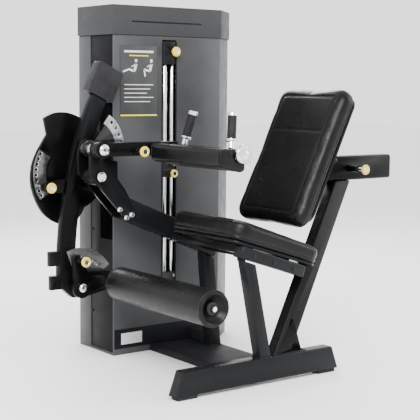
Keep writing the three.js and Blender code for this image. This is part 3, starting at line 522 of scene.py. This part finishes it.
# ---------------------------------------------------------------- soft pieces
def pad_frame(node_name, hint):
    """The cushion's own frame: its largest face towards hint gives local z, and world Y is local y."""
    mesh = NODES[node_name].data
    best = max((p for p in mesh.polygons if p.normal.dot(Vector(hint)) > 0.5), key=lambda p: p.area)
    z = best.normal.copy()
    y = Vector((0, 1, 0))
    x = y.cross(z).normalized()
    turn = Matrix((x, y, z)).transposed()
    local = [turn.transposed() @ v.co for v in mesh.vertices]
    low = Vector([min(p[i] for p in local) for i in range(3)])
    high = Vector([max(p[i] for p in local) for i in range(3)])
    return turn, low, high


def rounded_loop(half_x, half_y, corner, count=120):
    """Points round a rectangle with round corners, evenly spaced."""
    corner = min(corner, half_x, half_y)
    straight_x, straight_y = half_x - corner, half_y - corner
    centres = [(straight_x, straight_y), (-straight_x, straight_y), (-straight_x, -straight_y),
               (straight_x, -straight_y)]
    total = 4 * (straight_x + straight_y) + 2 * math.pi * corner
    points = []
    for i in range(count):
        s = total * i / count
        quarter = 0
        while True:
            flat = 2 * (straight_y if quarter % 2 == 0 else straight_x)
            bend = math.pi / 2 * corner
            if s < flat + bend or quarter == 3:
                break
            s -= flat + bend
            quarter += 1
        cx, cy = centres[quarter]
        start = quarter * math.pi / 2
        out = Vector((math.cos(start), math.sin(start)))
        along = Vector((-out.y, out.x))
        if s < flat:
            p = Vector((cx, cy)) + out * corner - along * (flat - s)
        else:
            angle = start + (s - flat) / max(corner, 1e-6)
            p = Vector((cx, cy)) + Vector((math.cos(angle), math.sin(angle))) * corner
        points.append(p)
    return points


def crowned_pad(low, high, corner, crown, edge, pinch=0.0):
    """A closed pad in its own frame: round edge, crowned top, sides that pull in between the corners."""
    half = (high - low) / 2
    mid = (high + low) / 2
    bm = bmesh.new()
    rings = []

    def ring(inset, z, bulge):
        loop = rounded_loop(half.x - inset, half.y - inset, max(corner - inset, 0.006))
        row = []
        for p in loop:
            rx, ry = abs(p.x) / half.x, abs(p.y) / half.y
            pull = pinch * (1 - min(rx, ry)) ** 2
            lift = bulge * (1 - rx ** 2.4) * (1 - ry ** 2.4)
            scale = 1 - pull / max(half.x, half.y)
            row.append(bm.verts.new((mid.x + p.x * scale, mid.y + p.y * scale, z + lift)))
        rings.append(row)

    steps = 8
    reach = min(half.x, half.y)
    top, bottom = high.z - crown, low.z
    inner = [reach * f for f in (0.94, 0.8, 0.62, 0.44, 0.28, 0.16)]
    for inset in inner:
        ring(inset, bottom, 0)
    for i in range(steps + 1):
        angle = math.pi / 2 * i / steps
        ring(edge * 0.6 * (1 - math.sin(angle)), bottom + edge * 0.6 * (1 - math.cos(angle)), 0)
    ring(0, (top + bottom) / 2, 0)
    for i in range(steps + 1):
        angle = math.pi / 2 * i / steps
        ring(edge * (1 - math.cos(angle)), top - edge * (1 - math.sin(angle)), 0)
    for inset in reversed(inner):
        ring(inset, top, crown)
    for a, b in zip(rings, rings[1:]):
        for i in range(len(a)):
            j = (i + 1) % len(a)
            bm.faces.new((a[i], a[j], b[j], b[i]))
    bm.faces.new(list(reversed(rings[0])))
    bm.faces.new(rings[-1])
    bmesh.ops.recalc_face_normals(bm, faces=bm.faces)
    return bm


def puff(piece, voxel, limit):
    """Inflates a pad with cloth simulation, then keeps every point within limit of where it began."""
    remesh = piece.modifiers.new("remesh", "REMESH")
    remesh.mode, remesh.voxel_size = "VOXEL", voxel
    apply_modifiers(piece)
    start = [v.co.copy() for v in piece.data.vertices]
    cloth = piece.modifiers.new("cloth", "CLOTH")
    cloth.settings.use_pressure = True
    cloth.settings.uniform_pressure_force = PRESSURE
    cloth.settings.effector_weights.gravity = 0
    cloth.settings.tension_stiffness = 20
    cloth.settings.compression_stiffness = 20
    cloth.settings.bending_stiffness = 4
    scene = bpy.context.scene
    for number in range(1, 21):
        scene.frame_set(number)
    apply_modifiers(piece)
    scene.frame_set(1)
    for v, was in zip(piece.data.vertices, start):
        move = v.co - was
        if move.length > limit:
            v.co = was + move * (limit / move.length)


def apply_modifiers(piece):
    bpy.context.view_layer.update()
    graph = bpy.context.evaluated_depsgraph_get()
    made = bpy.data.meshes.new_from_object(piece.evaluated_get(graph))
    piece.modifiers.clear()
    piece.data = made


def smooth_mesh(mesh, rounds):
    bm = bmesh.new()
    bm.from_mesh(mesh)
    for _ in range(rounds):
        bmesh.ops.smooth_vert(bm, verts=bm.verts, factor=0.5, use_axis_x=True, use_axis_y=True,
                              use_axis_z=True)
    bm.to_mesh(mesh)
    bm.free()


def sink_seam(mesh, paths, depth, width):
    """Pulls the surface in along seam paths, so that a sewn line lies in a valley."""
    points = [p for path in paths for p in path]
    tree = KDTree(len(points))
    for i, p in enumerate(points):
        tree.insert(p, i)
    tree.balance()
    moves = []
    for v in mesh.vertices:
        _, _, far = tree.find(v.co)
        moves.append(v.normal * (-depth * math.exp(-(far / width) ** 2)))
    for v, move in zip(mesh.vertices, moves):
        v.co += move


def dense(path, step=0.004, closed=True):
    """The path with points close enough together to follow."""
    out = []
    ends = zip(path, path[1:] + path[:1]) if closed else zip(path, path[1:])
    for a, b in ends:
        count = max(1, int((b - a).length / step))
        out += [a.lerp(b, k / count) for k in range(count)]
    if not closed:
        out.append(path[-1])
    return out


def soft_pad(node_name, hint, corner, crown, edge, pinch, limit, seams, rise=0.0, reach=0.0):
    """Builds a padded piece over a CAD cushion. seams maps its local box to closed or open seam lines.
    rise is how much thicker the low end is, and reach how far that end stands out."""
    turn, low, high = pad_frame(node_name, hint)
    low.x -= reach
    inset = Vector((PAD_SHRINK, PAD_SHRINK, PAD_SHRINK))
    bm = crowned_pad(low + inset, high - inset, corner, crown, edge, pinch=pinch)
    for v in bm.verts:
        above = max(0.0, (v.co.z - low.z) / (high.z - low.z))
        v.co.z += rise * above * (high.x - v.co.x) / (high.x - low.x)
    bm.transform(turn.to_4x4())
    mesh = mesh_of(bm, node_name + "_made")
    piece = finish_piece(node_name + "_made", mesh, BODY_OF[node_name], "vinyl", (node_name,))
    puff(piece, PAD_VOXEL, limit)
    smooth_mesh(piece.data, 2)
    paths = []
    for line, closed in seams(low, high):
        world = [turn @ p for p in line]
        paths.append((dense(world, closed=closed), closed))
    detail = piece.modifiers.new("finer", "SUBSURF")
    detail.levels = detail.render_levels = 1
    apply_modifiers(piece)
    on_surface = []
    tree = surface_tree(piece.data)
    for path, closed in paths:
        on_surface.append([tree.find_nearest(p)[0] for p in path])
    sink_seam(piece.data, on_surface, SEAM_DEPTH, SEAM_WIDTH)
    if not piece.data.materials:
        piece.data.materials.append(LOOKS["vinyl"])
    shade(piece.data)
    piece["body"] = BODY_OF[node_name]
    for i, (path, closed) in enumerate(paths):
        welt(f"{node_name}_seam_{i + 1}", piece, path[::2], closed)
    return piece


def loop_at(low, high, inset, z, corner):
    half = (high - low) / 2
    mid = (high + low) / 2
    return [Vector((mid.x + p.x, mid.y + p.y, z))
            for p in rounded_loop(half.x - inset, half.y - inset, max(corner - inset, 0.01), 96)]


def seat_seams(low, high):
    """A welt round the top edge, one round the bottom edge."""
    return [(loop_at(low, high, 0.02, high.z, SEAT_CORNER), True),
            (loop_at(low, high, 0.0, low.z + 0.018, SEAT_CORNER), True)]


def back_seams(low, high):
    """A raised front panel inside bevelled side strips, crossed by one sewn line two thirds of the way up."""
    level = low.x + (high.x - low.x) * 0.66
    cross = [Vector((level, low.y + 0.052, high.z)), Vector((level, high.y - 0.052, high.z))]
    return [(loop_at(low, high, 0.05, high.z, 0.055), True),
            (loop_at(low, high, 0.0, low.z + 0.016, 0.05), True), (cross, False)]


def make_cushions():
    soft_pad("seat_cushion", (0, 0, 1), 0.06, 0.004, 0.014, 0.003, 0.006, seat_seams, rise=0.016)
    soft_pad("back_cushion", (-1, 0, 0.3), 0.05, 0.006, 0.024, 0.004, 0.008, back_seams, reach=0.018)


def make_lap_pad():
    """The lap pad keeps its stepped side; its long edges are rounded and a seam ring lies near each end."""
    bm = cad_mesh("lap_pad")
    round_edges(bm, 0.008, 4)
    mesh = mesh_of(bm, "lap_pad_made")
    piece = finish_piece("lap_pad_made", mesh, BODY_OF["lap_pad"], "vinyl", ("lap_pad",))
    remesh = piece.modifiers.new("remesh", "REMESH")
    remesh.mode, remesh.voxel_size = "VOXEL", 0.005
    apply_modifiers(piece)
    smooth_mesh(piece.data, 6)
    if not piece.data.materials:
        piece.data.materials.append(LOOKS["vinyl"])
    shade(piece.data)
    piece["body"] = BODY_OF["lap_pad"]
    low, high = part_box("lap_pad")
    for i, y in enumerate((low.y + 0.012, high.y - 0.012)):
        ring = [Vector(((low.x + high.x) / 2 + 0.075 * math.cos(angle), y,
                        (low.z + high.z) / 2 + 0.055 * math.sin(angle))) for angle in turns_of(72)]
        welt(f"lap_pad_seam_{i + 1}", piece, ring, True)


def make_roller():
    """Foam roller in vinyl: crowned barrel, piped rim, dished end."""
    low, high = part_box("ankle_roller")
    centre = axis_of("ankle_roller")
    length = high.y - low.y
    radius = (high.x - low.x) / 2
    profile = [(0.028, 0.0, 0), (0.028, 0.022, 0), (0.024, 0.034, 0), (0.010, 0.046, 0), (0.0022, 0.052, 0),
               (0.0, 0.0555, 0), (0.0012, 0.0595, 0), (0.005, 0.0625, 0), (0.010, 0.0636, 0)]
    steps = 24
    for i in range(steps + 1):
        t = i / steps
        station = 0.012 + (length - 0.024) * t
        swell = 0.0012 * math.sin(math.pi * t) + 0.00025 * math.sin(23 * t) * math.sin(math.pi * t)
        profile.append((station, radius - 0.0013 + swell, 0))
    profile += [(length - 0.006, 0.062, 0), (length - 0.001, 0.058, 0), (length, 0.052, 0),
                (length - 0.001, 0.0, 0)]
    piece = lathe("ankle_roller_made", centre, (0, 1, 0), profile, BODY_OF["ankle_roller"], "vinyl",
                  ("ankle_roller",), 72)
    piece["body"] = BODY_OF["ankle_roller"]
    for i, station in enumerate((0.011, length - 0.011)):
        ring = [centre + Vector((radius * math.cos(t), station, radius * math.sin(t))) for t in turns_of(96)]
        welt(f"ankle_roller_piping_{i + 1}", piece, ring, True, 0.0018)
    line = [centre + Vector((0, 0.02 + (length - 0.04) * k / 40, -radius)) for k in range(41)]
    welt("ankle_roller_seam", piece, line, False)


# ---------------------------------------------------------------- knobs and turned parts
PIN_SHANK = 0.0064               # radius of a pin, apart from those named below
SHANK = {"weight_selector_pin": 0.0049}
TIP = {"rom_pin": 0.0048, "link_pin": 0.0049}


def knob(node_name):
    """A spring pin: plated shank, yellow grip ring with a waist, chrome centre, tip that fits its holes."""
    low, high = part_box(node_name)
    length = high.y - low.y
    r = (high.x - low.x) / 2 * 1.02
    shank = SHANK.get(node_name, PIN_SHANK)
    tip = TIP.get(node_name, shank)
    profile = [(0.0006, 0.0, 1), (0.0006, r * 0.46, 1), (0.0, r * 0.5, 1), (0.0018, r * 0.56, 1),
               (0.0016, r * 0.6, 0), (0.0, r * 0.76, 0), (0.0015, r * 0.92, 0), (0.0045, r, 0),
               (0.0085, r * 0.99, 0), (0.0115, r * 0.86, 0), (0.0135, r * 0.66, 0), (0.0150, r * 0.5, 2),
               (0.0185, r * 0.44, 2), (0.0190, shank, 2), (length - 0.0145, shank, 2),
               (length - 0.014, tip, 2), (length - 0.002, tip, 2), (length, tip * 0.7, 2), (length, 0.0, 2)]
    lathe(node_name + "_made", axis_of(node_name), (0, 1, 0), profile, BODY_OF[node_name],
          ["yellow_knob", "chrome", "plated_steel"], (node_name,))


def make_knobs():
    for name in ("lap_pin", "back_pin", "rom_pin", "link_pin", "add_on_pin", "weight_selector_pin"):
        knob(name)


def middle_of(points):
    """Average of some points."""
    return sum(points, Vector()) / max(1, len(points))


def make_grips():
    """Rubber sleeves with ribs between a plated collar and a chrome end."""
    for name in ("grip_near", "grip_far"):
        low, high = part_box(name)
        points = [v.co for v in NODES[name].data.vertices]
        foot = middle_of([p for p in points if p.z < low.z + 0.008])
        head = middle_of([p for p in points if p.z > high.z - 0.008])
        axis = head - foot
        length = axis.length
        profile = [(0.0, 0.0, 1), (0.0, 0.0108, 1), (0.022, 0.0108, 1), (0.0225, 0.0175, 1),
                   (0.0245, 0.0188, 1), (0.031, 0.0188, 1), (0.0325, 0.0172, 1), (0.033, 0.0165, 0)]
        ribs = 13
        start, end = 0.036, length - 0.016
        for i in range(ribs):
            a = start + (end - start) * i / ribs
            b = start + (end - start) * (i + 0.62) / ribs
            profile += [(a, 0.0158, 0), (a + 0.0012, 0.0169, 0), (b, 0.0169, 0), (b + 0.0012, 0.0158, 0)]
        profile += [(end + 0.001, 0.0165, 0), (end + 0.0015, 0.0176, 1), (length - 0.0045, 0.0178, 1),
                    (length - 0.001, 0.0155, 1), (length, 0.012, 1), (length, 0.0, 1)]
        lathe(name + "_made", foot, axis, profile, BODY_OF[name], ["grip_rubber", "chrome"], (name,))


def make_turned():
    """Disc caps and pivot bolts with finer turning than the CAD's; axles and rods from the CAD with their
    edges rounded.
    """
    lathe("lap_bar_cap_made", axis_of("lap_bar_cap"), (0, 1, 0),
          [(0.0, 0.0, 0), (0.0, 0.0085, 0), (0.0008, 0.0098, 0), (0.0045, 0.0102, 0), (0.005, 0.0125, 0),
           (0.006, 0.014, 0), (0.0062, 0.0265, 0), (0.0052, 0.0285, 0), (0.0055, 0.0315, 0),
           (0.008, 0.034, 0), (0.0115, 0.0349, 0), (0.018, 0.0345, 0), (0.0198, 0.033, 0), (0.0198, 0.0, 0)],
          BODY_OF["lap_bar_cap"], "chrome", ("lap_bar_cap",), 64)
    lathe("roller_axle_cap_made", axis_of("roller_axle_cap"), (0, 1, 0),
          [(0.0, 0.0, 0), (0.0, 0.0075, 0), (0.001, 0.009, 0), (0.0035, 0.0095, 0), (0.004, 0.0125, 1),
           (0.0105, 0.0135, 1), (0.012, 0.016, 1), (0.0135, 0.0225, 1), (0.015, 0.0238, 1),
           (0.0215, 0.0238, 1), (0.0215, 0.0, 1)],
          BODY_OF["roller_axle_cap"], ["chrome", "grip_rubber"], ("roller_axle_cap",), 48)
    for name in ("roller_axle", "lap_bar", "knee_shaft", "guide_rod_1", "guide_rod_2"):
        refine(name, 0.0008)
    for name, shank in (("lap_pivot_bolt", 0.012), ("link_pivot_bolt", 0.010)):
        low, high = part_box(name)
        r = (high.x - low.x) / 2
        length = high.y - low.y
        lathe(name + "_made", axis_of(name), (0, 1, 0),
              [(0.0014, 0.0, 0), (0.0014, r * 0.3, 0), (0.0, r * 0.36, 0), (0.0, r * 0.7, 0),
               (0.0025, r * 0.9, 0), (0.005, r, 0), (0.0085, r, 0), (0.0089, shank, 0),
               (length - 0.001, shank, 0), (length, shank * 0.85, 0), (length, 0.0, 0)],
              BODY_OF[name], "chrome", (name,))


# ---------------------------------------------------------------- frame and plates
ROUNDED = {"foot_bar": 0.004, "front_leg": 0.005, "seat_rail": 0.005, "far_post": 0.005, "base_spine": 0.004,
           "counterweight": 0.007, "lap_arm": 0.003, "tower_cap": 0.003,
           "tower_shell": 0.0015, "movement_arm": 0.002, "cam": 0.002, "roller_link": 0.002,
           "back_carriage": 0.003, "resting_plates": 0.001, "lifted_plate_1": 0.0012,
           "lifted_plate_2": 0.0012, "top_plate": 0.002, "head_bracket_near": 0.0015,
           "head_bracket_far": 0.0015}
PLAIN = ("foot_pad_front", "foot_pad_rear", "rear_leg", "seat_board", "lap_pivot_spacer",
         "bracket_beam", "slide_tube", "slide_tube_cap", "back_board",
         "tower_side_panel", "kick_panel", "placard", "low_pulley", "top_pulley", "belt", "add_on_block")


def make_hard_parts():
    for name, edge in ROUNDED.items():
        refine(name, edge)
    for name in PLAIN:
        refine(name, 0.0008)
    refine("base_plate", 0.0015, "deck_paint")


def make_leg_head():
    """Closes the square top of the front leg against the sloping rail above it."""
    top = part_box("front_leg")[1].z
    tree = surface_tree(NODES["seat_rail"].data)
    bm = bmesh.new()
    for corner in (v.co for v in NODES["front_leg"].data.vertices if v.co.z > top - 0.002):
        hit = tree.ray_cast(corner - Vector((0, 0, 0.01)), Vector((0, 0, 1)))[0]
        bm.verts.new(corner - Vector((0, 0, 0.003)))
        bm.verts.new((hit or corner) + Vector((0, 0, 0.0008)))
    bmesh.ops.convex_hull(bm, input=bm.verts[:])
    finish_piece("leg_head", mesh_of(bm, "leg_head"), "root", "black_frame")


def hole_rings(plate, centre, ring, first, step, count, hole):
    """Bright bushings round the holes of an index plate."""
    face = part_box(plate)[0].y
    for i in range(count):
        angle = math.radians(first + step * i)
        place = (centre.x + ring * math.cos(angle), face - 0.0002, centre.z + ring * math.sin(angle))
        lathe(f"{plate}_bushing_{i + 1}", place, (0, 1, 0),
              [(0.0035, hole + 0.0003, 0), (0.0003, hole + 0.0003, 0), (0.0, hole + 0.0008, 0),
               (0.0, hole + 0.0022, 0), (0.0006, hole + 0.0026, 0), (0.0035, hole + 0.0026, 0),
               (0.0035, hole + 0.0003, 0)],
              BODY_OF[plate], "chrome", sides=20)


def make_index_plates():
    """Drilled plates that the spring pins lock into."""
    LOOKS["sector_steel"] = rimmed_steel("sector_steel", axis_of("lap_pivot_bolt"), LAP_RIM)
    refine("lap_sector", 0.0008, "sector_steel")
    refine("cam_index_plate", 0.0008, "dark_steel")
    refine("link_sector", 0.0008, "dark_steel")
    for plate, axis, ring, first, step, count, hole in INDEX_HOLES:
        hole_rings(plate, axis_of(axis), ring, first, step, count, hole)


def make_bar_caps():
    """Plastic plugs on the slanted ends of the floor bar."""
    low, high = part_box("foot_bar")
    inner = 0.006
    for name, side in (("bar_plug_front", -1), ("bar_plug_rear", 1)):
        x = low.x if side < 0 else high.x
        bm = bmesh.new()
        for y in (low.y + inner, high.y - inner):
            for z in (low.z + inner, high.z - inner):
                shift = BAR_SLANT * (z - low.z) / (high.z - low.z)
                for off in (0.0012, -0.004):
                    bm.verts.new((x - side * (shift - off), y, z))
        bmesh.ops.convex_hull(bm, input=bm.verts[:])
        bmesh.ops.dissolve_limit(bm, angle_limit=math.radians(1), verts=bm.verts, edges=bm.edges)
        round_edges(bm, 0.0008)
        finish_piece(name, mesh_of(bm, name), "root", "rubber_foot")


def weld(name, points):
    """A weld bead: a tube round a joint of the fixed frame."""
    path = dense([Vector(p) for p in points], 0.0025, closed=True)
    bm = tube_mesh(path, WELD_RADIUS, True, 7)
    finish_piece(name, mesh_of(bm, name), "root", "black_frame")


def rim_of(node_name, z):
    """Corners of a node's outline near a height."""
    band = [v.co for v in NODES[node_name].data.vertices if abs(v.co.z - z) < RIM_BAND]
    x0, x1 = min(p.x for p in band), max(p.x for p in band)
    y0, y1 = min(p.y for p in band), max(p.y for p in band)
    return [(x0, y0, z), (x1, y0, z), (x1, y1, z), (x0, y1, z)]


def make_welds():
    bar_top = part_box("foot_bar")[1].z
    for name in ("front_leg", "rear_leg"):
        weld(name + "_weld", rim_of(name, bar_top + 0.0006))
    deck_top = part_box("base_plate")[1].z
    weld("far_post_weld", rim_of("far_post", deck_top + 0.0006))


def make_bolts():
    near_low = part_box("head_bracket_near")[0]
    for i, (dx, dz) in enumerate(BRACKET_BOLTS):
        place = (near_low.x + dx, near_low.y, near_low.z + dz)
        hex_bolt(f"bracket_bolt_{i + 1}", place, (0, -1, 0), 0.016, "root")
    lathe("knee_nut", axis_of("knee_shaft") - Vector((0, 0.006, 0)), (0, 1, 0),
          [(0.0, 0.0, 0), (0.0, 0.011, 0), (0.0015, 0.0125, 0), (0.004, 0.0135, 0), (0.0045, 0.0185, 0),
           (0.0058, 0.0188, 0), (0.0058, 0.0, 0)], "knee", "chrome")
    rail_low, rail_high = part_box("seat_rail")
    for i, t in enumerate((0.2, 0.5, 0.8)):
        x = rail_low.x + (rail_high.x - rail_low.x) * t
        z = rail_high.z - 0.022 - (rail_high.x - rail_low.x) * t * math.tan(math.radians(RAIL_PITCH))
        hex_bolt(f"rail_bolt_{i + 1}", (x, rail_low.y, z), (0, -1, 0), 0.013, "root", "black_frame")
    panel_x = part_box("tower_side_panel")[0].x
    bolt_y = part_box("tower_shell")[1].y - 0.1
    for i, z in enumerate(SIDE_BOLT_HEIGHTS):
        hex_bolt(f"side_bolt_{i + 1}", (panel_x, bolt_y, z), (-1, 0, 0), 0.009, "root", "black_frame")


def print_figure(name, middle, tall, bend):
    """A plain pictogram of a seated figure whose shin is bent back by an angle in degrees."""
    bm = bmesh.new()

    def stroke(start, end, thick):
        along = (end - start).normalized()
        across = Vector((-along.y, along.x)) * thick / 2
        corners = [start - across, start + across, end + across, end - across]
        front = [bm.verts.new((middle.x + p.x, middle.y - 0.0007, middle.z + p.y)) for p in corners]
        rear = [bm.verts.new((middle.x + p.x, middle.y + 0.001, middle.z + p.y)) for p in corners]
        bm.faces.new(front)
        bm.faces.new(list(reversed(rear)))
        for i in range(4):
            j = (i + 1) % 4
            bm.faces.new((front[i], rear[i], rear[j], front[j]))

    hip, shoulder = Vector((0.16, -0.1)) * tall, Vector((0.26, 0.24)) * tall
    knee = Vector((-0.16, -0.02)) * tall
    turn = math.radians(180 + bend)
    foot = knee + Vector((math.cos(turn), math.sin(turn))) * 0.34 * tall
    stroke(hip, shoulder, 0.13 * tall)
    stroke(hip, knee, 0.1 * tall)
    stroke(knee, foot, 0.08 * tall)
    stroke(shoulder, Vector((0.0, 0.1)) * tall, 0.05 * tall)
    stroke(Vector((0.25, 0.32)) * tall, Vector((0.25, 0.46)) * tall, 0.13 * tall)
    finish_piece(name, mesh_of(bm, name), "root", "print_light")


def make_tower_trim():
    """Dark strip painted as the shade of a groove in the cap's face, edge trim of the slot, generic placard
    print and blank label.
    """
    shell_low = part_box("tower_shell")[0]
    placard_low, placard_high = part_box("placard")
    face = placard_low.y
    width = placard_high.x - placard_low.x
    height = placard_high.z - placard_low.z

    def bar(name, x0, x1, z0, z1, look):
        slab(name, (placard_low.x + width * x0, face - 0.0007, placard_low.z + height * z0),
             (placard_low.x + width * x1, face + 0.001, placard_low.z + height * z1), "root", look, 0.0003)

    bar("print_heading", 0.1, 0.9, 0.9, 0.93, "print_light")
    bar("print_subhead", 0.24, 0.76, 0.85, 0.865, "print_yellow")
    for i, bend in enumerate((20, 100)):
        middle = Vector((placard_low.x + width * (0.3 + 0.42 * i), face, placard_low.z + height * 0.67))
        print_figure(f"print_figure_{i + 1}", middle, height * 0.3, bend)
    for i in range(5):
        foot = 0.44 - 0.06 * i
        bar(f"print_line_{i + 1}", 0.1, 0.9 - 0.09 * (i % 3), foot, foot + 0.012, "print_light")
    bar("print_foot", 0.0, 1.0, 0.0, 0.022, "print_yellow")
    kick_low, kick_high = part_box("kick_panel")
    slab("kick_label", (kick_low.x + 0.03, kick_low.y - 0.0006, kick_low.z + 0.016),
         (kick_low.x + 0.13, kick_low.y + 0.001, kick_high.z - 0.016), "root", "print_light", 0.0003)
    slot_x = (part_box("add_on_block")[0].x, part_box("add_on_block")[1].x)
    foot, head = SLOT_HEIGHTS
    for name, x in (("slot_trim_left", slot_x[0] - 0.0045), ("slot_trim_right", slot_x[1] + 0.0015)):
        slab(name, (x, shell_low.y - 0.0022, foot), (x + 0.003, shell_low.y + 0.004, head), "root",
             "tower_dark", 0.0008)
    # a dark strip on the cap's face: painted shade standing in for a groove
    cap_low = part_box("tower_cap")[0]
    slab("cap_groove_shade", (cap_low.x + 0.09, cap_low.y - 0.0008, cap_low.z + 0.05),
         (cap_low.x + 0.43, cap_low.y + 0.002, cap_low.z + 0.056), "root", "tower_dark", 0.0006)


def make_plate_marks():
    """A small light tag on each weight plate, without lettering."""
    low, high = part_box("resting_plates")
    pitch = (high.z - (low.z + STACK_BASE)) / 6
    tag_x = (low.x + high.x) / 2 + 0.018

    def tag(number, y, z, body):
        slab(f"plate_tag_{number}", (tag_x, y - 0.0008, z), (tag_x + 0.014, y + 0.001, z + 0.01), body,
             "print_light", 0.0003)

    for i in range(6):
        tag(i + 1, low.y, low.z + STACK_BASE + pitch * i + TAG_RISE, "root")
    for i, name in enumerate(("lifted_plate_1", "lifted_plate_2")):
        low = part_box(name)[0]
        tag(i + 7, low.y, low.z + TAG_RISE, BODY_OF[name])


make_camera()
make_studio()
make_cushions()
make_lap_pad()
make_roller()
make_knobs()
make_grips()
make_turned()
make_hard_parts()
make_index_plates()
make_leg_head()
make_bar_caps()
make_welds()
make_bolts()
make_tower_trim()
make_plate_marks()
